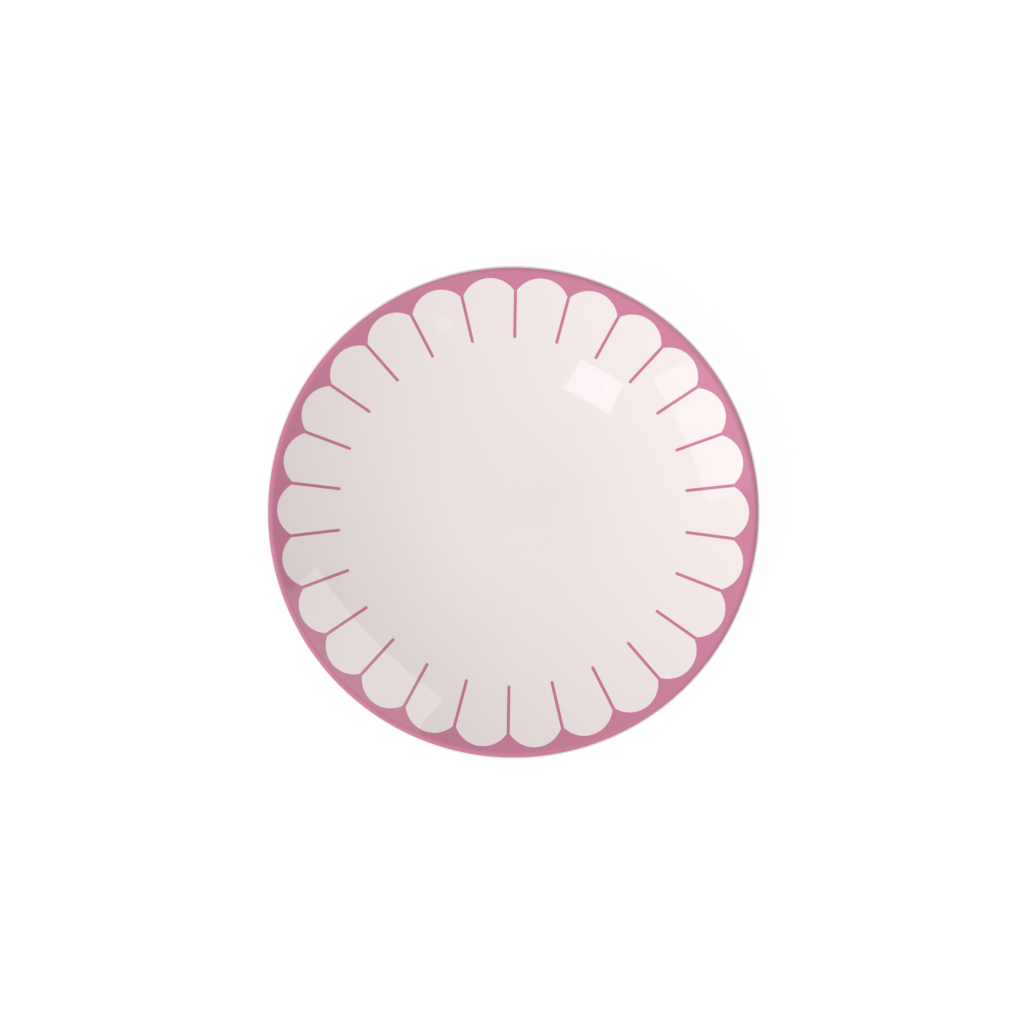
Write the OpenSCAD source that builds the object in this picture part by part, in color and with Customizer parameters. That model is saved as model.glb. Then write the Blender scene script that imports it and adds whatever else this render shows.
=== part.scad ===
// Coupe dessert plate in white porcelain, with a scallop border printed flush in its glaze.
// Millimetres, +Z up. The origin is the centre of the foot ring's resting plane.
// The wall is turned from one section: a flat middle, a gentle knee, a flank and a rounded lip.
// The glaze is a thin coat over that section, and the print fills a shallow pocket in the coat.

/* [Plate] */
// Diameter over the lip
plate_d = 216; // [202:1:236]
// Thickness of the wall from face to underside, glaze and all
wall = 3.8; // [3.5:0.1:4.4]
// Height of the glazed underside above the table, at the centre
base_lift = 2.6; // [1.8:0.1:4]

/* [Dish] */
// Diameter of the flat middle of the face
flat_d = 43; // [30:1:56]
// How far outside the foot ring the gentle knee runs on before it gives way to the flank
knee_past_foot = 10; // [6:0.5:16]
// Slope of the face where the knee ends, in degrees
knee_slope = 14.7; // [11:0.1:17]
// Slope of the face where the lip starts to roll over, in degrees
lip_slope = 26; // [22:0.5:28]
// Radius of the upper edge of the lip
lip_top_r = 2.2; // [1.8:0.1:2.4]

/* [Foot ring] */
// Outer diameter of the foot ring at the table, measured over its glaze
foot_d = 114; // [100:1:124]
// Width of the foot ring at the table, measured over its glaze
foot_w = 3.6; // [3:0.1:5]
// Lean of the foot ring's two flanks, in degrees
foot_lean = 8; // [0:1:14]
// Radius of the glazed fillets where the foot ring meets the underside
foot_fillet_r = 2; // [1.2:0.1:3]
// Bevel on both edges of the bare resting face
foot_bevel = 0.4; // [0.2:0.1:0.8]

/* [Glaze] */
// Thickness of the glaze coat
glaze_t = 0.3; // [0.24:0.02:0.4]
// Height above the table at which the glaze stops on the foot ring
glaze_stop = 1.3; // [1:0.1:2]

/* [Printed border] */
// Number of scallops round the rim, and of the lines between them
scallops = 26; // [20:1:32]
// Depth to which the colour has sunk into the glaze
print_t = 0.12; // [0.08:0.01:0.18]
// White edge left between the colour and the outside of the lip, seen from above
white_edge = 0.7; // [0.5:0.1:1.5]
// Width of the band at the top of a scallop, its narrowest place
band_w = 4; // [2.5:0.1:6]
// Depth of a scallop from its top to the cusps beside it
scallop_depth = 6.8; // [5:0.1:9]
// Length of the line that runs inwards from each cusp
line_len = 19.5; // [12:0.5:26]
// Width of the lines
line_w = 1.35; // [0.8:0.05:2]
// Turn of the whole border, anticlockwise from +X, in degrees
border_turn = 6.3; // [-90:0.1:90]
// Stray of the hand-laid transfer that comes round once a turn, in degrees
stray_once = 0.6; // [0:0.05:1]
// Stray of the hand-laid transfer that comes round twice a turn, in degrees
stray_twice = 0.48; // [0:0.02:0.8]

/* [Hidden] */
$fn = 240;

// Widest gap left between an arc of the section and its chords
chord_gap = 0.01;

// Where round the rim each stray is largest, in degrees
stray_once_at = 29;
stray_twice_at = -67;

plate_r = plate_d / 2;
flat_r = flat_d / 2;
foot_r = foot_d / 2;
knee_r = foot_r + knee_past_foot;
face_z = base_lift + wall;
overrun = wall;

// A direction in the section, by its angle outwards from straight down
function down(angle) = [sin(angle), -cos(angle)];
// The angle of such a direction, from 0 to 360
function angle_of(v) = (atan2(v.x, -v.y) + 360) % 360;
// Points along an arc of the section, struck from a centre
function arc(at, r, from, to, steps) = [for (i = [0 : steps]) at + r * down(from + (to - from) * i / steps)];
// How many chords an arc needs
function chords(r, from, to) = ceil(abs(to - from) / (2 * acos(1 - chord_gap / r)));

// The face in section: its radii, and the centres that they are struck from
roll_r = plate_r - lip_top_r * (1 + sin(lip_slope));
knee_arc = (knee_r - flat_r) / sin(knee_slope);
flank_arc = (roll_r - knee_r) / (sin(lip_slope) - sin(knee_slope));
knee_at = [flat_r, face_z + knee_arc];
flank_at = knee_at + (knee_arc - flank_arc) * down(knee_slope);
lip_top_at = flank_at + (flank_arc + lip_top_r) * down(lip_slope);
lip_top_z = lip_top_at.y + lip_top_r;

// The lip's lower edge touches the underside's arc and meets its upper edge at the outermost point
back_arc = flank_arc + wall;
lip_out = [plate_r, lip_top_at.y] - flank_at;
lip_under_r = (back_arc * back_arc - lip_out * lip_out) / (2 * (back_arc - lip_out.x));
lip_under_at = [plate_r - lip_under_r, lip_top_at.y];
lip_under_slope = angle_of(lip_under_at - flank_at);

// The foot ring's flanks, where side is 1 on the outside and -1 on the inside
foot_mid_r = foot_r - foot_w / 2;
function foot_corner(side) = [foot_mid_r + side * foot_w / 2, 0];
function foot_out(side) = [side * cos(foot_lean), -sin(foot_lean)];
function foot_up(side) = [side * sin(foot_lean), cos(foot_lean)];
// A fillet's arc touches a flank and the underside's arc
function fillet_at(side) =
    let (
        from = foot_corner(side) + foot_fillet_r * foot_out(side) - knee_at,
        rise = from * foot_up(side),
        reach = knee_arc + wall + foot_fillet_r
    )
    knee_at + from - (rise + sqrt(rise * rise - from * from + reach * reach)) * foot_up(side);
function fillet_slope(side) = angle_of(fillet_at(side) - knee_at);

// The foot ring's outline on one side, from the underside down to the table
function foot_outline(side, inset) =
    let (
        root = angle_of(knee_at - fillet_at(side)),
        flank = angle_of(-foot_out(side)),
        corner = foot_corner(side) - [side * inset / cos(foot_lean), 0]
    )
    concat(
        arc(fillet_at(side), foot_fillet_r + inset, root, flank, chords(foot_fillet_r, root, flank)),
        [
            corner + foot_bevel / cos(foot_lean) * foot_up(side),
            corner - [side * foot_bevel, 0]
        ]
    );

function backwards(list) = [for (i = [len(list) - 1 : -1 : 0]) list[i]];

// The face in section, from the centre out to the outermost point of the lip, sunk by a depth
function face_outline(depth) = concat(
    [[0, face_z - depth]],
    arc(knee_at, knee_arc + depth, 0, knee_slope, chords(knee_arc, 0, knee_slope)),
    arc(flank_at, flank_arc + depth, knee_slope, lip_slope, chords(flank_arc, knee_slope, lip_slope)),
    arc(lip_top_at, lip_top_r - depth, 180 + lip_slope, 90, chords(lip_top_r, 90, 180 + lip_slope))
);

// A stretch of the underside, sunk by a depth
function knee_back(depth, from, to) =
    arc(knee_at, knee_arc + wall - depth, from, to, chords(knee_arc, from, to));

// The underside in section, from the lip in to the centre, sunk by a depth
function back_outline(depth) = concat(
    arc(lip_under_at, lip_under_r - depth, 90, lip_under_slope, chords(lip_under_r, 90, lip_under_slope)),
    arc(flank_at, back_arc - depth, lip_under_slope, knee_slope, chords(back_arc, knee_slope, lip_slope)),
    knee_back(depth, knee_slope, fillet_slope(1)),
    foot_outline(1, depth),
    backwards(foot_outline(-1, depth)),
    knee_back(depth, fillet_slope(-1), 0),
    [[0, base_lift + depth]]
);

// The border in plan: each scallop's arc passes through its top and the cusps on both sides
pitch = 360 / scallops;
band_r = plate_r - white_edge;
top_r = band_r - band_w;
cusp_r = top_r - scallop_depth;
arc_centre_r = (top_r * top_r - cusp_r * cusp_r) / (2 * (top_r - cusp_r * cos(pitch / 2)));
arc_r = top_r - arc_centre_r;
field_r = arc_centre_r * cos(pitch / 2);
line_start_r = cusp_r - line_len;
function line_angle(i) =
    border_turn + i * pitch
    + stray_once * cos(i * pitch - stray_once_at)
    + stray_twice * cos(2 * i * pitch - stray_twice_at);

// The whole plate in section, sunk by a depth all round from its glazed outline
module plate_section(depth) {
    polygon(concat(face_outline(depth), back_outline(depth)));
}

// Everything in section that lies inside the foot ring and under the middle of the wall
module well_zone() {
    middle = arc(knee_at, knee_arc + wall / 2, angle_of([foot_mid_r - flat_r, -knee_arc]), 0, 1);
    polygon(concat([[0, -overrun], [foot_mid_r, -overrun]], middle, [[0, base_lift + wall / 2]]));
}

// The strip of section next to the table that stays free of glaze
module bare_zone() {
    translate([0, -overrun])
        square([plate_r, glaze_stop + overrun]);
}

// The glaze in section, before it is parted at the foot ring
module coat_section() {
    difference() {
        plate_section(0);
        plate_section(glaze_t);
        bare_zone();
    }
}

// A skin of the face in section, from a height above the surface to a depth below it
module face_skin(above, below) {
    polygon(concat(face_outline(-above), backwards(face_outline(below))));
}

// The band in plan: a ring whose inner edge is cut into scallops
module band_plan() {
    difference() {
        circle(band_r);
        circle(field_r);
        for (i = [0 : scallops - 1])
            rotate((line_angle(i) + line_angle(i + 1)) / 2)
                translate([arc_centre_r, 0])
                    circle(arc_r);
    }
}

// The lines in plan, round at their inner ends and running on into the band
module lines_plan() {
    for (i = [0 : scallops - 1])
        rotate(line_angle(i)) {
            translate([line_start_r, -line_w / 2])
                square([top_r - line_start_r, line_w]);
            translate([line_start_r, 0])
                circle(line_w / 2);
        }
}

// A plan printed into the face, from above the surface down to a depth below it
module printed(above, below) {
    intersection() {
        rotate_extrude()
            face_skin(above, below);
        linear_extrude(lip_top_z + overrun)
            children();
    }
}

module porcelain_body() {
    color("ivory")
        rotate_extrude()
            plate_section(glaze_t);
}

module glaze_coat() {
    color("whitesmoke")
        difference() {
            rotate_extrude()
                difference() {
                    coat_section();
                    well_zone();
                }
            printed(overrun, print_t) {
                band_plan();
                lines_plan();
            }
        }
}

module foot_well_glaze() {
    color("whitesmoke")
        rotate_extrude()
            intersection() {
                coat_section();
                well_zone();
            }
}

module scallop_band() {
    color([0.78, 0.51, 0.61])
        printed(0, print_t)
            band_plan();
}

module divider_lines() {
    color([0.79, 0.52, 0.62])
        printed(0, print_t)
            difference() {
                lines_plan();
                band_plan();
            }
}

porcelain_body();
glaze_coat();
foot_well_glaze();
scallop_band();
divider_lines();
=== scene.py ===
"""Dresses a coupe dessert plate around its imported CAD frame.

It makes the clay, the glaze and the printed border, and sets out the floor, the lamps and the camera.
Lengths are in metres, angles in radians, and +Z is up, out of the plate's face.
"""

import math
from types import SimpleNamespace

import bpy
from bpy.props import FloatProperty, FloatVectorProperty, IntProperty, PointerProperty
from bpy.types import Operator, Panel, PropertyGroup
from mathutils import Matrix, Vector


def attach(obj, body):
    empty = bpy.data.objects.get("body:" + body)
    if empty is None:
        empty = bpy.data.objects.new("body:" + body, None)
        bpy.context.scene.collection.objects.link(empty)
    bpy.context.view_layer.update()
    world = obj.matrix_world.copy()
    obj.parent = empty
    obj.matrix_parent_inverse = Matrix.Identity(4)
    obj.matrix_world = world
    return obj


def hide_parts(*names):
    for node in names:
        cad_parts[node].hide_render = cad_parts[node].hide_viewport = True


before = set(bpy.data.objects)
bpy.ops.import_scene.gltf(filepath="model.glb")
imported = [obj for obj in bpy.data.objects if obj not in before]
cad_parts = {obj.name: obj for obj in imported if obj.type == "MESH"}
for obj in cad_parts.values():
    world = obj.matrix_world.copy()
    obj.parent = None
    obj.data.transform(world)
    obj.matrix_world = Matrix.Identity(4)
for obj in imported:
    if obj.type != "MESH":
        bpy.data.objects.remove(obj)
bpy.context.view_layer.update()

bl_info = {
    "name": "Coupe Dessert Plate",
    "version": (1, 0, 0),
    "blender": (4, 5, 0),
    "location": "3D View > Sidebar > Plate",
    "description": "Turns, glazes and prints a porcelain plate with a scallop border",
    "category": "Add Mesh",
}

MM = 0.001

# Steps of a full turn: a dozen to each of the 26 scallops
TURN_STEPS = 312
# Spacing of the rings on what shows, and on what the glaze hides
SHOWN_RING = 2.0 * MM
HIDDEN_RING = 6.0 * MM
# Where the rings within the flat middle lie, as shares of its radius
FLAT_RING_SHARES = (0, 0.2, 0.6)
# Turn between neighbouring rings on the lip, and on the fillets
LIP_TURN = math.radians(7.5)
FILLET_TURN = math.radians(12.0)
# Steps round the softened edge of the bare foot, and round the edge of the glaze above it
BARE_EDGE_STEPS = 5
GLAZE_EDGE_STEPS = 6
# The two sides of the foot ring
OUTSIDE = 1
INSIDE = -1
# Vertices closer than this are one
MERGE = 1e-6
# Shortest step that a turned section takes
SHORTEST_STEP = 10 * MERGE
# Edges sharper than this keep their crease
CREASE = math.radians(30.0)


class PlateShapeSettings(PropertyGroup):
    """The turned section, as the CAD source has it."""

    diameter: FloatProperty(
        name="Diameter", description="Diameter over the lip", default=216 * MM,
        unit="LENGTH", subtype="DISTANCE")
    wall: FloatProperty(
        name="Wall", description="Thickness from face to underside, glaze and all", default=3.8 * MM,
        unit="LENGTH", subtype="DISTANCE")
    base_lift: FloatProperty(
        name="Base Lift", description="Height of the glazed underside above the table, at the centre",
        default=2.6 * MM, unit="LENGTH", subtype="DISTANCE")
    flat_diameter: FloatProperty(
        name="Flat Middle", description="Diameter of the flat middle of the face", default=43 * MM,
        unit="LENGTH", subtype="DISTANCE")
    knee_past_foot: FloatProperty(
        name="Knee Past Foot", description="How far outside the foot ring the gentle knee runs on",
        default=10 * MM, unit="LENGTH", subtype="DISTANCE")
    knee_slope: FloatProperty(
        name="Knee Slope", description="Slope of the face where the knee ends", default=math.radians(14.7),
        unit="ROTATION", subtype="ANGLE")
    lip_slope: FloatProperty(
        name="Lip Slope", description="Slope of the face where the lip starts to roll over",
        default=math.radians(26), unit="ROTATION", subtype="ANGLE")
    lip_radius: FloatProperty(
        name="Lip Radius", description="Radius of the upper edge of the lip", default=2.2 * MM,
        unit="LENGTH", subtype="DISTANCE")
    foot_diameter: FloatProperty(
        name="Foot Diameter", description="Outer diameter of the foot ring at the table", default=114 * MM,
        unit="LENGTH", subtype="DISTANCE")
    foot_width: FloatProperty(
        name="Foot Width", description="Width of the foot ring at the table, over its glaze",
        default=3.6 * MM, unit="LENGTH", subtype="DISTANCE")
    foot_lean: FloatProperty(
        name="Foot Lean", description="Lean of the foot ring's two flanks", default=math.radians(8),
        unit="ROTATION", subtype="ANGLE")
    foot_fillet: FloatProperty(
        name="Foot Fillet", description="Radius where the foot ring meets the underside", default=2 * MM,
        unit="LENGTH", subtype="DISTANCE")
    foot_bevel: FloatProperty(
        name="Foot Bevel", description="Softened edge of the bare resting face", default=0.4 * MM,
        unit="LENGTH", subtype="DISTANCE")
    glaze: FloatProperty(
        name="Glaze", description="Thickness of the glaze coat", default=0.3 * MM,
        unit="LENGTH", subtype="DISTANCE")
    glaze_stop: FloatProperty(
        name="Glaze Stop", description="Height at which the glaze stops on the foot ring", default=1.3 * MM,
        unit="LENGTH", subtype="DISTANCE")


class PlateBorderSettings(PropertyGroup):
    """The printed border, in plan."""

    scallops: IntProperty(
        name="Scallops", description="Number of scallops round the rim, and of the lines between them",
        default=26, min=3)
    depth: FloatProperty(
        name="Print Depth", description="Depth to which the colour has sunk into the glaze",
        default=0.12 * MM, unit="LENGTH", subtype="DISTANCE")
    white_edge: FloatProperty(
        name="White Edge", description="White left between the colour and the outside of the lip",
        default=0.7 * MM, unit="LENGTH", subtype="DISTANCE")
    band_width: FloatProperty(
        name="Band Width", description="Width of the band at the top of a scallop", default=4 * MM,
        unit="LENGTH", subtype="DISTANCE")
    scallop_depth: FloatProperty(
        name="Scallop Depth", description="Depth of a scallop from its top to its cusps", default=6.8 * MM,
        unit="LENGTH", subtype="DISTANCE")
    line_length: FloatProperty(
        name="Line Length", description="Length of the line that runs inwards from each cusp",
        default=19.5 * MM, unit="LENGTH", subtype="DISTANCE")
    line_width: FloatProperty(
        name="Line Width", description="Width of the lines", default=1.35 * MM,
        unit="LENGTH", subtype="DISTANCE")
    turn: FloatProperty(
        name="Border Turn", description="Turn of the whole border, anticlockwise from +X",
        default=math.radians(6.3), unit="ROTATION", subtype="ANGLE")
    stray_once: FloatProperty(
        name="Stray Once", description="Stray of the hand-laid transfer that comes round once a turn",
        default=math.radians(0.6), unit="ROTATION", subtype="ANGLE")
    stray_once_at: FloatProperty(
        name="Stray Once At", description="Where round the rim that stray is largest",
        default=math.radians(29), unit="ROTATION", subtype="ANGLE")
    stray_twice: FloatProperty(
        name="Stray Twice", description="Stray of the hand-laid transfer that comes round twice a turn",
        default=math.radians(0.48), unit="ROTATION", subtype="ANGLE")
    stray_twice_at: FloatProperty(
        name="Stray Twice At", description="Where round the rim that stray is largest",
        default=math.radians(-67), unit="ROTATION", subtype="ANGLE")


class PlateFinishSettings(PropertyGroup):
    """The fired colours and their gloss."""

    glaze_colour: FloatVectorProperty(
        name="Glaze", description="Warm white of the glaze", default=(0.83, 0.77, 0.743),
        size=3, min=0, max=1, subtype="COLOR")
    print_colour: FloatVectorProperty(
        name="Print", description="Pink of the printed band", default=(0.574, 0.2, 0.311),
        size=3, min=0, max=1, subtype="COLOR")
    line_colour: FloatVectorProperty(
        name="Lines", description="Denser pink of the divider lines", default=(0.567, 0.171, 0.285),
        size=3, min=0, max=1, subtype="COLOR")
    clay_colour: FloatVectorProperty(
        name="Clay", description="Bare fired clay of the foot ring", default=(0.74, 0.69, 0.62),
        size=3, min=0, max=1, subtype="COLOR")
    glaze_roughness: FloatProperty(
        name="Glaze Roughness", description="Roughness of the glaze", default=0.024,
        min=0, max=1, subtype="FACTOR")


class PlateStageSettings(PropertyGroup):
    """Camera and lamps."""

    camera_distance: FloatProperty(
        name="Camera Distance", description="From the lip's plane to the camera", default=3.0,
        unit="LENGTH", subtype="DISTANCE")
    camera_width: FloatProperty(
        name="Camera Width", description="Width of the picture in the lip's plane", default=0.4485,
        unit="LENGTH", subtype="DISTANCE")
    camera_aim: FloatVectorProperty(
        name="Camera Aim", description="Where the middle of the picture falls in the lip's plane",
        default=(-0.53 * MM, 0.33 * MM), size=2, unit="LENGTH", subtype="TRANSLATION")
    camera_lean: FloatProperty(
        name="Camera Lean", description="Lean of the view from straight down", default=math.radians(2.3),
        unit="ROTATION", subtype="ANGLE")
    camera_lean_towards: FloatProperty(
        name="Leans Towards", description="Where the leaning camera stands, anticlockwise from +X",
        default=math.radians(111), unit="ROTATION", subtype="ANGLE")
    key_strength: FloatProperty(
        name="Key", description="Strength of the soft key light", default=1.815, min=0)
    key_zenith: FloatProperty(
        name="Key Zenith", description="Angle of the key light from straight above",
        default=math.radians(58), unit="ROTATION", subtype="ANGLE")
    key_azimuth: FloatProperty(
        name="Key Azimuth", description="Where the key light comes from, anticlockwise from +X",
        default=math.radians(212), unit="ROTATION", subtype="ANGLE")
    ambient_strength: FloatProperty(
        name="Ambient", description="Strength of the even light all round", default=0.477, min=0)


def plate_section(shape):
    """The radii, slopes and centres that the section is struck from."""
    s = SimpleNamespace()
    s.plate_r = shape.diameter / 2
    s.wall = shape.wall
    s.glaze = shape.glaze
    s.glaze_stop = shape.glaze_stop
    s.base_lift = shape.base_lift
    s.face_z = shape.base_lift + shape.wall
    s.knee_slope = shape.knee_slope
    s.lip_slope = shape.lip_slope
    s.lip_r = shape.lip_radius
    flat_r = shape.flat_diameter / 2
    foot_r = shape.foot_diameter / 2
    knee_r = foot_r + shape.knee_past_foot
    roll_r = s.plate_r - s.lip_r * (1 + math.sin(s.lip_slope))
    s.knee_arc = (knee_r - flat_r) / math.sin(s.knee_slope)
    s.flank_arc = (roll_r - knee_r) / (math.sin(s.lip_slope) - math.sin(s.knee_slope))
    s.knee_at = Vector((flat_r, s.face_z + s.knee_arc))
    s.flank_at = s.knee_at + (s.knee_arc - s.flank_arc) * down(s.knee_slope)
    s.lip_top_at = s.flank_at + (s.flank_arc + s.lip_r) * down(s.lip_slope)
    s.back_arc = s.flank_arc + s.wall
    lip_out = Vector((s.plate_r, s.lip_top_at.y)) - s.flank_at
    s.lip_under_r = (s.back_arc ** 2 - lip_out.dot(lip_out)) / (2 * (s.back_arc - lip_out.x))
    s.lip_under_at = Vector((s.plate_r - s.lip_under_r, s.lip_top_at.y))
    s.lip_under_slope = slope_of(s.lip_under_at - s.flank_at)
    s.foot_mid_r = foot_r - shape.foot_width / 2
    s.foot_half = shape.foot_width / 2
    s.foot_lean = shape.foot_lean
    s.foot_bevel = shape.foot_bevel
    s.fillet_r = shape.foot_fillet
    return s


def down(angle):
    """A direction in the section, by its angle outwards from straight down."""
    return Vector((math.sin(angle), -math.cos(angle)))


def slope_of(direction):
    """The angle of such a direction, from 0 to a full turn."""
    return math.atan2(direction.x, -direction.y) % math.tau


def arc(centre, radius, start, end, spacing=None, turn=None):
    """Points along an arc of the section, by their spacing or by the turn between them."""
    sweep = abs(end - start)
    steps = max(1, math.ceil(sweep / turn if turn else sweep * radius / spacing))
    return [centre + radius * down(start + (end - start) * i / steps) for i in range(steps + 1)]


def face_points(s, depth, spacing):
    """The face from the centre out to the outermost point of the lip, sunk by a depth."""
    return (
        [Vector((s.knee_at.x * share, s.face_z - depth)) for share in FLAT_RING_SHARES]
        + arc(s.knee_at, s.knee_arc + depth, 0, s.knee_slope, spacing)
        + arc(s.flank_at, s.flank_arc + depth, s.knee_slope, s.lip_slope, spacing)
        + arc(s.lip_top_at, s.lip_r - depth, math.pi + s.lip_slope, math.pi, turn=LIP_TURN)
        + arc(s.lip_top_at, s.lip_r - depth, math.pi, math.pi / 2, turn=LIP_TURN)
    )


def knee_back_points(s, depth, start, end, spacing):
    """A stretch of the underside below the knee, sunk by a depth."""
    return arc(s.knee_at, s.knee_arc + s.wall - depth, start, end, spacing)


def back_points(s, depth, spacing):
    """The underside from the lip in to the foot ring's outer flank, sunk by a depth."""
    return (
        arc(s.lip_under_at, s.lip_under_r - depth, math.pi / 2, s.lip_under_slope, turn=LIP_TURN)
        + arc(s.flank_at, s.back_arc - depth, s.lip_under_slope, s.knee_slope, spacing)
        + knee_back_points(s, depth, s.knee_slope, fillet_slope(s, OUTSIDE), spacing)
        + fillet_points(s, OUTSIDE, depth)
    )


def outer_points(s, depth, spacing):
    """The face, the lip and the underside as far as the foot ring's outer flank, sunk by a depth."""
    return face_points(s, depth, spacing) + back_points(s, depth, spacing)


def well_points(s, depth, spacing):
    """The underside from the centre out to the foot ring's inner flank, sunk by a depth."""
    return (
        [Vector((0, s.base_lift + depth))]
        + knee_back_points(s, depth, 0, fillet_slope(s, INSIDE), spacing)
        + fillet_points(s, INSIDE, depth)
    )


def foot_out(s, side):
    """Straight out of a flank of the foot ring."""
    return Vector((side * math.cos(s.foot_lean), -math.sin(s.foot_lean)))


def foot_up(s, side):
    """Straight up a flank of the foot ring."""
    return Vector((side * math.sin(s.foot_lean), math.cos(s.foot_lean)))


def foot_corner(s, side, depth=0.0):
    """Where a flank of the foot ring would meet the table, sunk by a depth."""
    return Vector((s.foot_mid_r + side * (s.foot_half - depth / math.cos(s.foot_lean)), 0))


def fillet_at(s, side):
    """The centre of the fillet that touches a flank and the underside."""
    start = foot_corner(s, side) + s.fillet_r * foot_out(s, side) - s.knee_at
    rise = start.dot(foot_up(s, side))
    reach = s.knee_arc + s.wall + s.fillet_r
    drop = rise + math.sqrt(rise ** 2 - start.dot(start) + reach ** 2)
    return s.knee_at + start - drop * foot_up(s, side)


def fillet_slope(s, side):
    """The slope at which a fillet leaves the underside."""
    return slope_of(fillet_at(s, side) - s.knee_at)


def fillet_points(s, side, depth):
    """A fillet from the underside to the flank, sunk by a depth."""
    centre = fillet_at(s, side)
    start = slope_of(s.knee_at - centre)
    end = slope_of(-foot_out(s, side))
    return arc(centre, s.fillet_r + depth, start, end, turn=FILLET_TURN)


def flank_point(s, side, depth, height):
    """The point of a flank at a height above the table, sunk by a depth."""
    return foot_corner(s, side, depth) + height / math.cos(s.foot_lean) * foot_up(s, side)


def bare_foot_points(s, side):
    """The bare end of the foot ring on one side, ground soft at its edge."""
    corner = foot_corner(s, side, s.glaze)
    above = flank_point(s, side, s.glaze, s.foot_bevel)
    below = corner - Vector((side * s.foot_bevel, 0))
    shares = [i / BARE_EDGE_STEPS for i in range(BARE_EDGE_STEPS + 1)]
    return [above * (1 - t) ** 2 + corner * (2 * t * (1 - t)) + below * t ** 2 for t in shares]


def glaze_edge_points(s, side):
    """The rounded edge at which the glaze stops on a flank, from its surface in to the clay."""
    centre = flank_point(s, side, s.glaze, s.glaze_stop) + s.glaze * foot_up(s, side)
    angles = [math.pi / 2 * i / GLAZE_EDGE_STEPS for i in range(GLAZE_EDGE_STEPS + 1)]
    return [
        centre + s.glaze * math.cos(a) * foot_out(s, side) - s.glaze * math.sin(a) * foot_up(s, side)
        for a in angles
    ]


def backwards(points):
    """The same points from last to first."""
    return list(reversed(points))


def select_only(*pieces):
    """Leaves these pieces selected and the first one active."""
    if bpy.context.object and bpy.context.object.mode != "OBJECT":
        bpy.ops.object.mode_set(mode="OBJECT")
    bpy.ops.object.select_all(action="DESELECT")
    for piece in pieces:
        piece.select_set(True)
    bpy.context.view_layer.objects.active = pieces[0]


def turn_on_wheel(name, points):
    """Extrudes a section vertex by vertex, spins it about the plate's axis and closes it."""
    bpy.ops.object.select_all(action="DESELECT")
    bpy.ops.mesh.primitive_plane_add(size=MM)
    piece = bpy.context.object
    piece.name = piece.data.name = name
    bpy.ops.object.mode_set(mode="EDIT")
    bpy.ops.mesh.select_mode(type="VERT")
    bpy.ops.mesh.select_all(action="SELECT")
    bpy.ops.mesh.merge(type="CENTER")
    here = points[0]
    bpy.ops.transform.translate(value=(here.x, 0, here.y))
    for there in points[1:]:
        step = there - here
        if step.length < SHORTEST_STEP:
            continue
        bpy.ops.mesh.extrude_region_move(TRANSFORM_OT_translate={"value": (step.x, 0, step.y)})
        here = there
    bpy.ops.mesh.select_all(action="SELECT")
    bpy.ops.mesh.spin(steps=TURN_STEPS, angle=math.tau, center=(0, 0, 0), axis=(0, 0, 1))
    close_up(piece)
    return piece


def close_up(piece):
    """Merges a piece's doubles, turns its faces outwards and makes sure that it has no open edge."""
    select_only(piece)
    bpy.ops.object.mode_set(mode="EDIT")
    bpy.ops.mesh.select_all(action="SELECT")
    bpy.ops.mesh.remove_doubles(threshold=MERGE)
    bpy.ops.mesh.select_all(action="SELECT")
    bpy.ops.mesh.normals_make_consistent(inside=False)
    bpy.ops.mesh.select_all(action="DESELECT")
    bpy.ops.mesh.select_mode(type="EDGE")
    bpy.ops.mesh.select_non_manifold()
    bpy.ops.object.mode_set(mode="OBJECT")
    open_edges = sum(edge.select for edge in piece.data.edges)
    faces = len(piece.data.polygons)
    if open_edges or not faces:
        raise RuntimeError(f"{piece.name} has {faces} faces and {open_edges} open or doubled edges")


def boolean(piece, tool, operation):
    """Applies one Boolean to a piece, which has to leave something of it."""
    select_only(piece)
    modifier = piece.modifiers.new("Boolean", "BOOLEAN")
    modifier.object = tool
    modifier.operation = operation
    modifier.solver = "MANIFOLD"
    bpy.ops.object.modifier_apply(modifier=modifier.name)
    if not piece.data.polygons:
        raise RuntimeError(f"nothing is left of {piece.name} after {operation} with {tool.name}")


def copy_of(piece, name):
    """A copy of a piece with its own mesh."""
    select_only(piece)
    bpy.ops.object.duplicate(linked=False)
    copy = bpy.context.object
    copy.name = copy.data.name = name
    return copy


def discard(*pieces):
    """Removes tools that have done their work."""
    for piece in pieces:
        mesh = piece.data
        bpy.data.objects.remove(piece)
        bpy.data.meshes.remove(mesh)


def border_plan(s, border):
    """The radii and angles of the border, as the CAD source strikes them."""
    p = SimpleNamespace()
    p.pitch = math.tau / border.scallops
    p.band_r = s.plate_r - border.white_edge
    p.top_r = p.band_r - border.band_width
    p.cusp_r = p.top_r - border.scallop_depth
    half = math.cos(p.pitch / 2)
    p.arc_centre_r = (p.top_r ** 2 - p.cusp_r ** 2) / (2 * (p.top_r - p.cusp_r * half))
    p.arc_r = p.top_r - p.arc_centre_r
    p.field_r = p.arc_centre_r * half
    p.line_start_r = p.cusp_r - border.line_length
    angles = [
        border.turn + i * p.pitch
        + border.stray_once * math.cos(i * p.pitch - border.stray_once_at)
        + border.stray_twice * math.cos(2 * i * p.pitch - border.stray_twice_at)
        for i in range(border.scallops + 1)
    ]
    p.line_angles = angles[:-1]
    p.scallop_angles = [(a + b) / 2 for a, b in zip(angles, angles[1:])]
    return p


# Heights between which the stamps of the border stand
STAMP_LOW = 9 * MM
STAMP_HIGH = 31 * MM
STAMP_DEPTH = STAMP_HIGH - STAMP_LOW
STAMP_MIDDLE = (STAMP_HIGH + STAMP_LOW) / 2
# Sides of the round cutters, and steps round the end of a line
BAND_SIDES = 624
FIELD_SIDES = 208
SCALLOP_SIDES = 128
LINE_END_STEPS = 8
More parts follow.
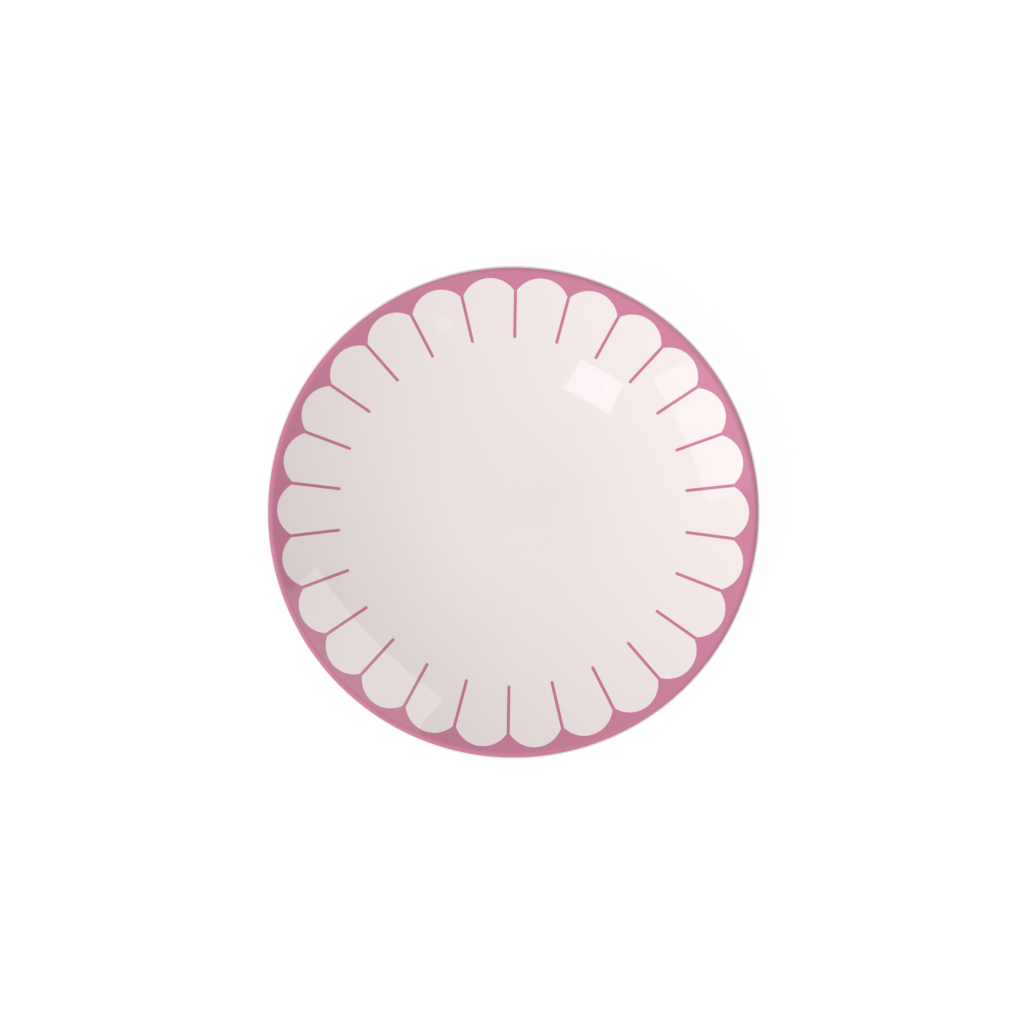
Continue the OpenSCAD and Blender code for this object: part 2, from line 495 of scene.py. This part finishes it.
# Turn of a round cutter, as a share of half a side, which keeps its corners off the others'
CORNER_TURN_SHARE = 1 / 3
# Share of half a line's width that its round end takes, which leaves its last two corners apart
LINE_END_SHARE = 0.998
# How far the skin of the rim reaches in past the lines' ends
SKIN_OVERRUN = 3 * MM
# How many times its own depth the pocket's cutter stands above the glaze
POCKET_OVERRUN = 2


def round_stamp(name, radius, sides, centre=(0.0, 0.0)):
    """A round post that stands through the rim."""
    bpy.ops.object.select_all(action="DESELECT")
    bpy.ops.mesh.primitive_cylinder_add(
        vertices=sides, radius=radius, depth=STAMP_DEPTH, location=(*centre, STAMP_MIDDLE),
        rotation=(0, 0, math.pi / sides * CORNER_TURN_SHARE))
    post = bpy.context.object
    post.name = post.data.name = name
    bpy.ops.object.transform_apply(location=True, rotation=True, scale=True)
    return post


def ring_of_copies(post, angles):
    """Stands copies of a stamp round the plate's axis, one at each angle, in the stamp's place."""
    copies = []
    for angle in angles:
        copy = copy_of(post, post.name)
        copy.rotation_euler.z = angle
        bpy.ops.object.transform_apply(location=True, rotation=True, scale=True)
        copies.append(copy)
    discard(post)
    return copies


def band_stamp(plan):
    """The band in plan: a ring whose inner edge is cut into scallops."""
    band = round_stamp("band_stamp", plan.band_r, BAND_SIDES)
    field = round_stamp("field_cutter", plan.field_r, FIELD_SIDES)
    boolean(band, field, "DIFFERENCE")
    first = round_stamp("scallop_cutter", plan.arc_r, SCALLOP_SIDES, (plan.arc_centre_r, 0.0))
    cutters = ring_of_copies(first, plan.scallop_angles)
    for cutter in cutters:
        boolean(band, cutter, "DIFFERENCE")
    discard(field, *cutters)
    return band


def line_stamp(plan, border):
    """The lines in plan: straight bars, round at their inner ends, that run on into the band."""
    length = plan.top_r - plan.line_start_r + border.line_width / 2
    inner_x = plan.top_r - length
    bpy.ops.object.select_all(action="DESELECT")
    bpy.ops.mesh.primitive_cube_add(
        size=1, location=(plan.top_r - length / 2, 0, STAMP_MIDDLE),
        scale=(length, border.line_width, STAMP_DEPTH))
    bar = bpy.context.object
    bar.name = bar.data.name = "line_bar"
    bpy.ops.object.transform_apply(location=True, rotation=True, scale=True)
    bpy.ops.object.mode_set(mode="EDIT")
    bpy.ops.mesh.select_mode(type="EDGE")
    bpy.ops.mesh.select_all(action="DESELECT")
    bpy.ops.object.mode_set(mode="OBJECT")
    for edge in bar.data.edges:
        ends = [bar.data.vertices[i].co for i in edge.vertices]
        upright = abs(ends[0].z - ends[1].z) > MM
        edge.select = upright and all(abs(end.x - inner_x) < MERGE for end in ends)
    bpy.ops.object.mode_set(mode="EDIT")
    bpy.ops.mesh.bevel(
        offset=border.line_width / 2 * LINE_END_SHARE, segments=LINE_END_STEPS, affect="EDGES")
    bpy.ops.object.mode_set(mode="OBJECT")
    bars = ring_of_copies(bar, plan.line_angles)
    select_only(*bars)
    bpy.ops.object.join()
    stamp = bpy.context.object
    stamp.name = stamp.data.name = "line_stamp"
    return stamp


def rim_skin(name, s, plan, above, below):
    """A skin of the face round the border, from a height above the surface to a depth below it."""
    reach = plan.line_start_r - SKIN_OVERRUN
    upper = [p for p in face_points(s, -above, SHOWN_RING) if p.x > reach]
    lower = [p for p in face_points(s, below, SHOWN_RING) if p.x > reach]
    return turn_on_wheel(name, upper + backwards(lower) + upper[:1])


def finish_piece(piece, material_name, slot, *nodes):
    """Smooths a piece, gives it its finish and lets it stand for its CAD nodes."""
    select_only(piece)
    bpy.ops.object.shade_smooth_by_angle(angle=CREASE)
    piece.data.materials.clear()
    piece.data.materials.append(bpy.data.materials[material_name])
    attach(piece, "root")
    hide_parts(*nodes)


def new_group(name, inputs, outputs):
    """A shader node group with named sockets, and its two end nodes."""
    group = bpy.data.node_groups.new(name, "ShaderNodeTree")
    for socket, value in inputs.items():
        entry = group.interface.new_socket(socket, in_out="INPUT", socket_type="NodeSocketFloat")
        entry.default_value = value
    for socket in outputs:
        group.interface.new_socket(socket, in_out="OUTPUT", socket_type="NodeSocketFloat")
    return group, group.nodes.new("NodeGroupInput"), group.nodes.new("NodeGroupOutput")


def math_node(tree, operation, first, second=None, third=None):
    """A Math node fed by sockets or numbers; returns its output."""
    node = tree.nodes.new("ShaderNodeMath")
    node.operation = operation
    for slot, value in zip(node.inputs, (first, second, third)):
        if isinstance(value, bpy.types.NodeSocket):
            tree.links.new(value, slot)
        elif value is not None:
            slot.default_value = value
    return node.outputs[0]


def object_place(tree):
    """Where a point lies in its piece; returns the vector."""
    return tree.nodes.new("ShaderNodeTexCoord").outputs["Object"]


def noise_node(tree, vector, scale, detail=2.0, roughness=0.5):
    """A Noise Texture on a vector, its scale fed by a socket; returns its value."""
    node = tree.nodes.new("ShaderNodeTexNoise")
    tree.links.new(vector, node.inputs["Vector"])
    tree.links.new(scale, node.inputs["Scale"])
    node.inputs["Detail"].default_value = detail
    node.inputs["Roughness"].default_value = roughness
    return node.outputs["Fac"]


def make_ripple_group():
    """The slight unevenness of a fired glaze: slow waves with a finer orange peel on them."""
    group, start, end = new_group(
        "Glaze Ripple", {"Wave Scale": 60.0, "Peel Scale": 500.0, "Peel Share": 0.12}, ["Height"])
    place = object_place(group)
    wave = noise_node(group, place, start.outputs["Wave Scale"], detail=1.0)
    peel = noise_node(group, place, start.outputs["Peel Scale"], detail=1.0)
    height = math_node(group, "MULTIPLY_ADD", peel, start.outputs["Peel Share"], wave)
    group.links.new(height, end.inputs["Height"])
    return group


def make_mottle_group():
    """The cloudiness of a fired colour: slow clouds with a fine grain, centred on a half."""
    group, start, end = new_group(
        "Fired Mottle", {"Cloud Scale": 35.0, "Grain Scale": 900.0, "Grain Share": 0.3}, ["Mottle"])
    place = object_place(group)
    cloud = noise_node(group, place, start.outputs["Cloud Scale"], detail=3.0, roughness=0.55)
    grain = noise_node(group, place, start.outputs["Grain Scale"], detail=2.0, roughness=0.6)
    mix = group.nodes.new("ShaderNodeMix")
    group.links.new(start.outputs["Grain Share"], mix.inputs["Factor"])
    group.links.new(cloud, mix.inputs["A"])
    group.links.new(grain, mix.inputs["B"])
    group.links.new(mix.outputs["Result"], end.inputs["Mottle"])
    return group


def make_speck_group():
    """Rare fine specks burnt into clay or glaze, as a mask."""
    group, start, end = new_group(
        "Fired Specks", {"Cell Scale": 300.0, "Speck Size": 0.12, "Rarity": 0.8}, ["Mask"])
    cells = group.nodes.new("ShaderNodeTexVoronoi")
    group.links.new(object_place(group), cells.inputs["Vector"])
    group.links.new(start.outputs["Cell Scale"], cells.inputs["Scale"])
    split = group.nodes.new("ShaderNodeSeparateColor")
    group.links.new(cells.outputs["Color"], split.inputs["Color"])
    chosen = math_node(group, "GREATER_THAN", split.outputs["Red"], start.outputs["Rarity"])
    near = math_node(group, "LESS_THAN", cells.outputs["Distance"], start.outputs["Speck Size"])
    mask = math_node(group, "MULTIPLY", chosen, near)
    group.links.new(mask, end.inputs["Mask"])
    return group


def make_turned_group():
    """The distance from the axis that the plate was turned about."""
    group, _, end = new_group("Turned Radius", {}, ["Radius"])
    flat = group.nodes.new("ShaderNodeVectorMath")
    flat.operation = "MULTIPLY"
    flat.inputs[1].default_value = (1, 1, 0)
    group.links.new(object_place(group), flat.inputs[0])
    length = group.nodes.new("ShaderNodeVectorMath")
    length.operation = "LENGTH"
    group.links.new(flat.outputs[0], length.inputs[0])
    group.links.new(length.outputs["Value"], end.inputs["Radius"])
    return group


def place_group(tree, group, **values):
    """Places a node group in a material with its own values; returns its output."""
    node = tree.nodes.new("ShaderNodeGroup")
    node.node_tree = group
    for name, value in values.items():
        node.inputs[name.replace("_", " ").title()].default_value = value
    return node.outputs[0]


# Where a Mix node keeps its colour sockets, whose names its sockets for numbers share
MIX_FIRST_COLOUR = 6
MIX_SECOND_COLOUR = 7
MIX_COLOUR_RESULT = 2


def shade_between(tree, factor, low, high):
    """A colour mixed between two by a mask."""
    mix = tree.nodes.new("ShaderNodeMix")
    mix.data_type = "RGBA"
    tree.links.new(factor, mix.inputs["Factor"])
    for place, value in ((MIX_FIRST_COLOUR, low), (MIX_SECOND_COLOUR, high)):
        if isinstance(value, bpy.types.NodeSocket):
            tree.links.new(value, mix.inputs[place])
        else:
            mix.inputs[place].default_value = value
    return mix.outputs[MIX_COLOUR_RESULT]


def tinted(colour, factor):
    """A colour made lighter or darker by a factor, with alpha."""
    return tuple(min(1.0, c * factor) for c in colour) + (1.0,)


def clouded(tree, mask, colour, shares):
    """A colour that a mask takes from one share of itself to another."""
    low, high = (tinted(colour, share) for share in shares)
    return shade_between(tree, mask, low, high)


def range_node(tree, value, low, high, from_low=0.0, from_high=1.0):
    """Maps a value from one range to another and holds it there."""
    node = tree.nodes.new("ShaderNodeMapRange")
    tree.links.new(value, node.inputs["Value"])
    node.inputs["From Min"].default_value = from_low
    node.inputs["From Max"].default_value = from_high
    node.inputs["To Min"].default_value = low
    node.inputs["To Max"].default_value = high
    return node.outputs["Result"]


def new_surface(name):
    """A material with its shader at its defaults; returns its tree and its shader."""
    material = bpy.data.materials.new(name)
    material.use_nodes = True
    return material.node_tree, material.node_tree.nodes["Principled BSDF"]


def bump_from(tree, shader, height, distance):
    """Feeds a height through a Bump node into a shader's normal."""
    bump = tree.nodes.new("ShaderNodeBump")
    bump.inputs["Distance"].default_value = distance
    tree.links.new(height, bump.inputs["Height"])
    tree.links.new(bump.outputs["Normal"], shader.inputs["Normal"])


# Shares between which the clouds take a colour, and those that the colour keeps in its specks
GLAZE_CLOUD_SHARES = (0.985, 1.015)
PRINT_CLOUD_SHARES = (0.95, 1.05)
CLAY_CLOUD_SHARES = (0.86, 1.1)
GLAZE_SPECK_SHARE = 0.8
CLAY_SPECK_SHARE = 0.45
# Shares of the glaze's roughness between which it varies, on the glaze and on the print
GLAZE_GLOSS_SHARES = (0.7, 1.3)
PRINT_GLOSS_SHARES = (0.9, 1.6)
# Depth of the glaze's unevenness
RIPPLE_DEPTH = 0.012 * MM
# Refraction of the glaze, and of the print that lies in it with a duller gloss
GLAZE_IOR = 1.5
PRINT_IOR = 1.4
# Half the stretch over which the band's pink gives way to the lines' at the cusps
LINE_BLEND = 1.0 * MM
# Roughness between which the bare clay varies, and the depth of its relief
CLAY_ROUGHNESS = (0.62, 0.85)
CLAY_RELIEF = 0.02 * MM
# Spacing of the round marks of grinding on the clay, and their share in its relief
GRINDING_PITCH = 0.18 * MM
GRINDING_SHARE = 0.25


def fire_gloss(tree, shader, finish, mask, shares, ripple, refraction):
    """Gives a glazed surface its gloss: a roughness that varies with a mask, ripples and refraction."""
    low, high = (finish.glaze_roughness * share for share in shares)
    tree.links.new(range_node(tree, mask, low, high), shader.inputs["Roughness"])
    bump_from(tree, shader, place_group(tree, ripple), RIPPLE_DEPTH)
    shader.inputs["IOR"].default_value = refraction


def make_glaze_material(finish, ripple, mottle, specks):
    """Warm white glaze: glossy, a little uneven, and very slightly clouded."""
    tree, shader = new_surface("fired_glaze")
    clouds = place_group(tree, mottle, cloud_scale=28.0, grain_scale=1400.0, grain_share=0.25)
    white = clouded(tree, clouds, finish.glaze_colour, GLAZE_CLOUD_SHARES)
    speck = place_group(tree, specks, cell_scale=90.0, speck_size=0.012, rarity=0.9)
    burnt = tinted(finish.glaze_colour, GLAZE_SPECK_SHARE)
    tree.links.new(shade_between(tree, speck, white, burnt), shader.inputs["Base Color"])
    fire_gloss(tree, shader, finish, clouds, GLAZE_GLOSS_SHARES, ripple, GLAZE_IOR)


def make_print_material(finish, ripple, mottle, turned, plan):
    """Pink sunk into the glaze: a little duller, grained like a screened transfer, denser on the lines."""
    tree, shader = new_surface("sunk_print")
    clouds = place_group(tree, mottle, cloud_scale=45.0, grain_scale=1800.0, grain_share=0.45)
    band = clouded(tree, clouds, finish.print_colour, PRINT_CLOUD_SHARES)
    lines = clouded(tree, clouds, finish.line_colour, PRINT_CLOUD_SHARES)
    outwards = range_node(
        tree, place_group(tree, turned), 0, 1, plan.cusp_r - LINE_BLEND, plan.cusp_r + LINE_BLEND)
    tree.links.new(shade_between(tree, outwards, lines, band), shader.inputs["Base Color"])
    fire_gloss(tree, shader, finish, clouds, PRINT_GLOSS_SHARES, ripple, PRINT_IOR)


def make_clay_material(finish, mottle, specks, turned):
    """Bare fired clay: matte, finely speckled, with the round marks of grinding."""
    tree, shader = new_surface("bare_clay")
    clouds = place_group(tree, mottle, cloud_scale=120.0, grain_scale=2500.0, grain_share=0.5)
    body = clouded(tree, clouds, finish.clay_colour, CLAY_CLOUD_SHARES)
    speck = place_group(tree, specks, cell_scale=900.0, speck_size=0.16, rarity=0.86)
    burnt = tinted(finish.clay_colour, CLAY_SPECK_SHARE)
    tree.links.new(shade_between(tree, speck, body, burnt), shader.inputs["Base Color"])
    radius = place_group(tree, turned)
    rings = math_node(tree, "SINE", math_node(tree, "MULTIPLY", radius, math.tau / GRINDING_PITCH))
    bump_from(tree, shader, math_node(tree, "MULTIPLY_ADD", rings, GRINDING_SHARE, clouds), CLAY_RELIEF)
    tree.links.new(range_node(tree, clouds, *CLAY_ROUGHNESS), shader.inputs["Roughness"])


def make_finishes(finish, plan):
    """Builds the shared effects once and the three finishes from them."""
    ripple = make_ripple_group()
    mottle = make_mottle_group()
    specks = make_speck_group()
    turned = make_turned_group()
    make_glaze_material(finish, ripple, mottle, specks)
    make_print_material(finish, ripple, mottle, turned, plan)
    make_clay_material(finish, mottle, specks, turned)


class PLATE_OT_mix_finishes(Operator):
    """Mix the glaze, the print colour and the bare clay"""

    bl_idname = "plate.mix_finishes"
    bl_label = "Mix Finishes"

    def execute(self, context):
        scene = context.scene
        plan = border_plan(plate_section(scene.plate_shape), scene.plate_border)
        make_finishes(scene.plate_finish, plan)
        return {"FINISHED"}


class PLATE_OT_turn_clay(Operator):
    """Turn the clay body with its foot ring"""

    bl_idname = "plate.turn_clay"
    bl_label = "Turn Clay Body"

    def execute(self, context):
        s = plate_section(context.scene.plate_shape)
        outline = (
            outer_points(s, s.glaze, HIDDEN_RING)
            + bare_foot_points(s, OUTSIDE)
            + backwards(bare_foot_points(s, INSIDE))
            + backwards(well_points(s, s.glaze, HIDDEN_RING))
        )
        clay = turn_on_wheel("plate_clay", outline)
        finish_piece(clay, "bare_clay", "bare_porcelain", "porcelain_body")
        return {"FINISHED"}


class PLATE_OT_glaze_foot_well(Operator):
    """Glaze the underside inside the foot ring"""

    bl_idname = "plate.glaze_foot_well"
    bl_label = "Glaze Foot Well"

    def execute(self, context):
        s = plate_section(context.scene.plate_shape)
        outline = (
            well_points(s, 0, SHOWN_RING)
            + glaze_edge_points(s, INSIDE)
            + backwards(well_points(s, s.glaze, SHOWN_RING))
        )
        well = turn_on_wheel("plate_well_glaze", outline)
        finish_piece(well, "fired_glaze", "white_glaze", "foot_well_glaze")
        return {"FINISHED"}


class PLATE_OT_glaze_and_print(Operator):
    """Glaze the plate and sink the scallop band and the lines into the glaze"""

    bl_idname = "plate.glaze_and_print"
    bl_label = "Glaze and Print"

    def execute(self, context):
        s = plate_section(context.scene.plate_shape)
        border = context.scene.plate_border
        plan = border_plan(s, border)

        band = band_stamp(plan)
        lines = line_stamp(plan, border)
        both = copy_of(band, "border_stamp")
        boolean(both, lines, "UNION")
        boolean(lines, band, "DIFFERENCE")

        band_piece = rim_skin("plate_scallop_band", s, plan, 0, border.depth)
        line_piece = copy_of(band_piece, "plate_divider_lines")
        boolean(band_piece, band, "INTERSECT")
        boolean(line_piece, lines, "INTERSECT")

        pocket = rim_skin("border_pocket", s, plan, POCKET_OVERRUN * border.depth, border.depth)
        boolean(pocket, both, "INTERSECT")
        coat = (
            outer_points(s, 0, SHOWN_RING)
            + glaze_edge_points(s, OUTSIDE)
            + backwards(outer_points(s, s.glaze, HIDDEN_RING))
        )
        glaze = turn_on_wheel("plate_glaze", coat)
        boolean(glaze, pocket, "DIFFERENCE")
        discard(band, lines, both, pocket)

        for piece in (band_piece, line_piece, glaze):
            close_up(piece)
        finish_piece(band_piece, "sunk_print", "pink_print", "scallop_band")
        finish_piece(line_piece, "sunk_print", "pink_print", "divider_lines")
        finish_piece(glaze, "fired_glaze", "white_glaze", "glaze_coat")
        return {"FINISHED"}


# Radiance of the background where the camera or a gloss sees it
WHITE = 1.0
# Side of the floor, and how pale it is to the light that falls on it
FLOOR_SIZE = 40.0
FLOOR_PALE = 0.8
# How much of the floor's shadow the camera sees, and the light that fills it up to white
FLOOR_SHADE = 0.08
FLOOR_FILL = 0.945


def seen_directly(tree):
    """A mask of the rays that see the background: camera, gloss and clear glass."""
    path = tree.nodes.new("ShaderNodeLightPath")
    either = math_node(tree, "MAXIMUM", path.outputs["Is Camera Ray"], path.outputs["Is Glossy Ray"])
    return math_node(tree, "MAXIMUM", either, path.outputs["Is Transmission Ray"])


def split_by_sight(tree, lighting, seen, end_type):
    """Gives one shader to the light that reaches the plate and another to what sees the background."""
    mix = tree.nodes.new("ShaderNodeMixShader")
    tree.links.new(seen_directly(tree), mix.inputs["Fac"])
    tree.links.new(lighting, mix.inputs[1])
    tree.links.new(seen, mix.inputs[2])
    end = tree.nodes.new(end_type)
    tree.links.new(mix.outputs[0], end.inputs["Surface"])


def white_background(tree, strength):
    """White light of one strength from all round."""
    background = tree.nodes.new("ShaderNodeBackground")
    background.inputs["Color"].default_value = (1, 1, 1, 1)
    background.inputs["Strength"].default_value = strength
    return background.outputs[0]


def matte_grey(tree, shade):
    """A matte shader of one grey."""
    matte = tree.nodes.new("ShaderNodeBsdfDiffuse")
    matte.inputs["Color"].default_value = (shade, shade, shade, 1)
    return matte.outputs[0]


def light_world(scene, strength):
    """Even light all round, with a white background."""
    world = bpy.data.worlds.new("studio_world")
    world.use_nodes = True
    tree = world.node_tree
    tree.nodes.clear()
    even = white_background(tree, strength)
    split_by_sight(tree, even, white_background(tree, WHITE), "ShaderNodeOutputWorld")
    scene.world = world


def lay_floor():
    """A plain pale floor that is white to the camera and keeps the plate's shadow."""
    bpy.ops.object.select_all(action="DESELECT")
    bpy.ops.mesh.primitive_plane_add(size=FLOOR_SIZE)
    floor = bpy.context.object
    floor.name = floor.data.name = "stage_floor"
    material = bpy.data.materials.new("pale_floor")
    material.use_nodes = True
    tree = material.node_tree
    tree.nodes.clear()
    fill = tree.nodes.new("ShaderNodeEmission")
    fill.inputs["Strength"].default_value = FLOOR_FILL
    seen = tree.nodes.new("ShaderNodeAddShader")
    tree.links.new(matte_grey(tree, FLOOR_SHADE), seen.inputs[0])
    tree.links.new(fill.outputs[0], seen.inputs[1])
    split_by_sight(tree, matte_grey(tree, FLOOR_PALE), seen.outputs[0], "ShaderNodeOutputMaterial")
    floor.data.materials.append(material)


def put_up(name, data, place, target, across=(1, 0, 0)):
    """Puts up a lamp or camera, aimed at a target, its X axis as near as can be to a direction."""
    thing = bpy.data.objects.new(name, data)
    bpy.context.scene.collection.objects.link(thing)
    thing.location = place
    back = (thing.location - target).normalized()
    up = back.cross(Vector(across)).normalized()
    side = up.cross(back).normalized()
    thing.rotation_euler = Matrix((side, up, back)).transposed().to_euler()
    return thing


def direction(zenith, azimuth):
    """The direction at an angle from straight up, turned anticlockwise from +X."""
    return Vector((
        math.sin(zenith) * math.cos(azimuth), math.sin(zenith) * math.sin(azimuth), math.cos(zenith)))


# How far off the key light stands, and how wide it looks
KEY_DISTANCE = 3.0
KEY_WIDTH = math.radians(35)
# Width of the camera's sensor in millimetres, and how far the camera sees
SENSOR_WIDTH = 36.0
CLIP_END = 100.0
# Soft boxes: where each hangs, its sides, the way its first side runs, how bright it looks, how much
# its middle and its lamp's ring stand out from that, and its tint
SOFTBOXES = {
    "small_softbox": dict(
        place=(-0.342, -0.623, 1.433), size=(0.230, 0.244), across=(-0.882, 0.472, 0.0),
        radiance=2.42, middle=0.03, ring=0.45, tint=(0.82, 0.795, 1.0)),
    "large_softbox": dict(
        place=(-1.096, -0.543, 1.032), size=(0.700, 0.900), across=(-0.425, 0.905, 0.025),
        radiance=1.5, middle=0.05, ring=0.0, tint=(0.83, 0.76, 1.0)),
    "fill_softbox": dict(
        place=(0.925, 0.787, 1.042), size=(0.970, 0.900), across=(-0.684, 0.727, 0.058),
        radiance=2.15, middle=0.35, ring=0.0, tint=(1.0, 0.94, 0.94)),
    "far_softbox": dict(
        place=(0.343, -0.933, 1.197), size=(0.080, 0.110), across=(0.938, 0.345, 0.0),
        radiance=0.55, middle=0.25, ring=0.0, tint=(1.0, 1.0, 1.0)),
}
# Radius of a lamp's ring in its soft box, and half the ring's width, where the box's sides are 1
RING_RADIUS = 0.3
RING_HALF_WIDTH = 0.07
# Middle of a soft box, and how far from it its corners are, where the box's sides are 1
BOX_MIDDLE = (0.5, 0.5, 0.0)
CORNER_REACH = math.sqrt(0.5)


def hang_softbox(name, place, size, across, radiance, middle, ring, tint):
    """A soft box aimed at the plate, a little brighter in its middle and where its ring lamp shows."""
    lamp = bpy.data.lights.new(name, "AREA")
    lamp.shape = "RECTANGLE"
    lamp.size, lamp.size_y = size
    lamp.energy = radiance * math.pi * size[0] * size[1]
    lamp.color = tint
    lamp.use_nodes = True
    tree = lamp.node_tree
    spread = tree.nodes.new("ShaderNodeVectorMath")
    spread.operation = "DISTANCE"
    spread.inputs[1].default_value = BOX_MIDDLE
    tree.links.new(tree.nodes.new("ShaderNodeNewGeometry").outputs["Parametric"], spread.inputs[0])
    off_middle = spread.outputs["Value"]
    glow = range_node(tree, off_middle, 1 + middle, 1 - middle, 0.0, CORNER_REACH)
    if ring:
        off_ring = math_node(tree, "ABSOLUTE", math_node(tree, "SUBTRACT", off_middle, RING_RADIUS))
        ring_glow = range_node(tree, off_ring, ring, 0.0, 0.0, RING_HALF_WIDTH)
        glow = math_node(tree, "ADD", glow, ring_glow)
    tree.links.new(glow, tree.nodes["Emission"].inputs["Strength"])
    box = put_up(name, lamp, place, Vector((0, 0, 0)), across)
    box.visible_camera = False


class PLATE_OT_set_stage(Operator):
    """Lay the floor, hang the lamps and set up the camera"""

    bl_idname = "plate.set_stage"
    bl_label = "Set Stage"

    def execute(self, context):
        scene = context.scene
        stage = scene.plate_stage
        s = plate_section(scene.plate_shape)
        lay_floor()
        light_world(scene, stage.ambient_strength)

        key = bpy.data.lights.new("key_light", "SUN")
        key.energy = stage.key_strength
        key.angle = KEY_WIDTH
        key_place = KEY_DISTANCE * direction(stage.key_zenith, stage.key_azimuth)
        key_lamp = put_up("key_light", key, key_place, Vector((0, 0, 0)))
        key_lamp.visible_glossy = False
        for name, box in SOFTBOXES.items():
            hang_softbox(name, **box)

        camera = bpy.data.cameras.new("photo_camera")
        camera.sensor_width = SENSOR_WIDTH
        camera.lens = camera.sensor_width * stage.camera_distance / stage.camera_width
        camera.clip_end = CLIP_END
        target = Vector((*stage.camera_aim, s.lip_top_at.y))
        towards_eye = direction(stage.camera_lean, stage.camera_lean_towards)
        eye = put_up("photo_camera", camera, target + stage.camera_distance * towards_eye, target)
        scene.camera = eye
        scene.view_settings.view_transform = "Standard"
        return {"FINISHED"}


class PLATE_PT_sidebar(Panel):
    """Lists the steps that make the plate and its settings"""

    bl_label = "Coupe Dessert Plate"
    bl_space_type = "VIEW_3D"
    bl_region_type = "UI"
    bl_category = "Plate"

    def draw(self, context):
        column = self.layout.column(align=True)
        for step in STEPS:
            column.operator(step.bl_idname)
        for name in SETTINGS:
            box = self.layout.box()
            settings = getattr(context.scene, name)
            for prop in settings.bl_rna.properties:
                if prop.identifier not in {"rna_type", "name"}:
                    box.prop(settings, prop.identifier)


STEPS = (
    PLATE_OT_mix_finishes, PLATE_OT_turn_clay, PLATE_OT_glaze_foot_well, PLATE_OT_glaze_and_print,
    PLATE_OT_set_stage,
)
SETTINGS = {
    "plate_shape": PlateShapeSettings,
    "plate_border": PlateBorderSettings,
    "plate_finish": PlateFinishSettings,
    "plate_stage": PlateStageSettings,
}
CLASSES = (*SETTINGS.values(), *STEPS, PLATE_PT_sidebar)


def register():
    """Makes the settings, the steps and the panel known."""
    for cls in CLASSES:
        bpy.utils.register_class(cls)
    for name, cls in SETTINGS.items():
        setattr(bpy.types.Scene, name, PointerProperty(type=cls))


def unregister():
    """Takes them away again, last first."""
    for name in SETTINGS:
        delattr(bpy.types.Scene, name)
    for cls in reversed(CLASSES):
        bpy.utils.unregister_class(cls)


def main():
    """Makes the plate and its stage."""
    register()
    bpy.ops.plate.mix_finishes()
    bpy.ops.plate.turn_clay()
    bpy.ops.plate.glaze_foot_well()
    bpy.ops.plate.glaze_and_print()
    bpy.ops.plate.set_stage()


if __name__ == "__main__":
    main()
